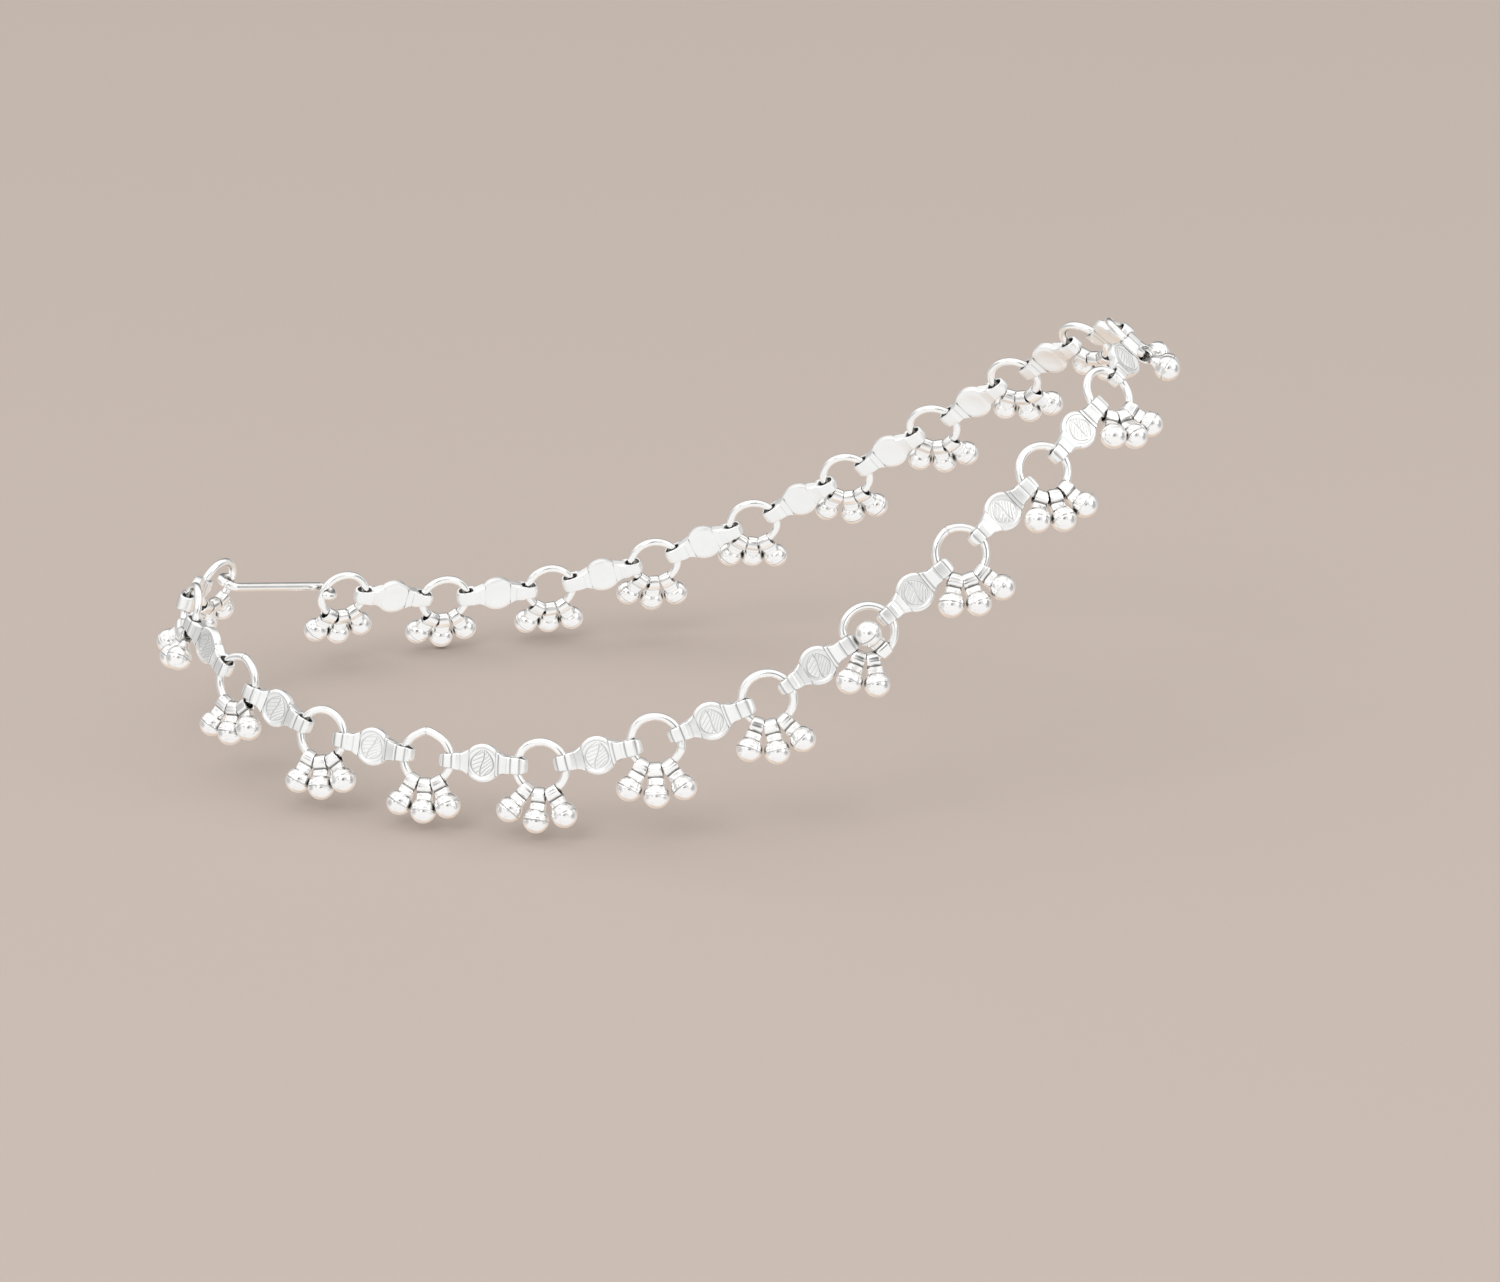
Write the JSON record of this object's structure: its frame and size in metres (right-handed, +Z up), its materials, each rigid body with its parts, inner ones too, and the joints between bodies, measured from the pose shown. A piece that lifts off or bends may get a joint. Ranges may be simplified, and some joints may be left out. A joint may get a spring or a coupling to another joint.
{
  "type": "anklet",
  "caption": "Silver ankle chain of round rings and stamped leaf plates, with small bell drops hanging from every ring and a plain S hook.",
  "frame": {"origin": "middle of the loop, on the axis of the ankle that it is worn on", "axes": "+X towards the instep, +Y towards the far side of the ankle, where the hook is, +Z up the leg"},
  "size_m": [0.103, 0.0624, 0.0438],
  "materials": {
    "polished_silver": "polished",
    "stamped_silver": "stamped, bright",
    "plain_silver": "polished wire"
  },
  "bodies": {
    "root": {"bell_ring_01": "polished_silver", "bell_ring_02": "polished_silver", "bell_ring_03": "polished_silver", "bell_ring_04": "polished_silver", "bell_ring_05": "polished_silver", "bell_ring_06": "polished_silver", "bell_ring_07": "polished_silver", "bell_ring_08": "polished_silver", "bell_ring_09": "polished_silver", "bell_ring_10": "polished_silver", "bell_ring_11": "polished_silver", "bell_ring_12": "polished_silver", "bell_ring_13": "polished_silver", "bell_ring_14": "polished_silver", "bell_ring_15": "polished_silver", "bell_ring_16": "polished_silver", "bell_ring_17": "polished_silver", "bell_ring_18": "polished_silver", "bell_ring_19": "polished_silver", "bell_ring_20": "polished_silver", "bell_ring_21": "polished_silver", "bell_ring_22": "polished_silver", "plate_01": "stamped_silver", "plate_02": "stamped_silver", "plate_03": "stamped_silver", "plate_04": "stamped_silver", "plate_05": "stamped_silver", "plate_06": "stamped_silver", "plate_07": "stamped_silver", "plate_08": "stamped_silver", "plate_09": "stamped_silver", "plate_10": "stamped_silver", "plate_11": "stamped_silver", "plate_12": "stamped_silver", "plate_13": "stamped_silver", "plate_14": "stamped_silver", "plate_15": "stamped_silver", "plate_16": "stamped_silver", "plate_17": "stamped_silver", "plate_18": "stamped_silver", "plate_19": "stamped_silver", "plate_20": "stamped_silver", "plate_21": "stamped_silver", "clasp_hook": "plain_silver"}
  },
  "joints": []
}
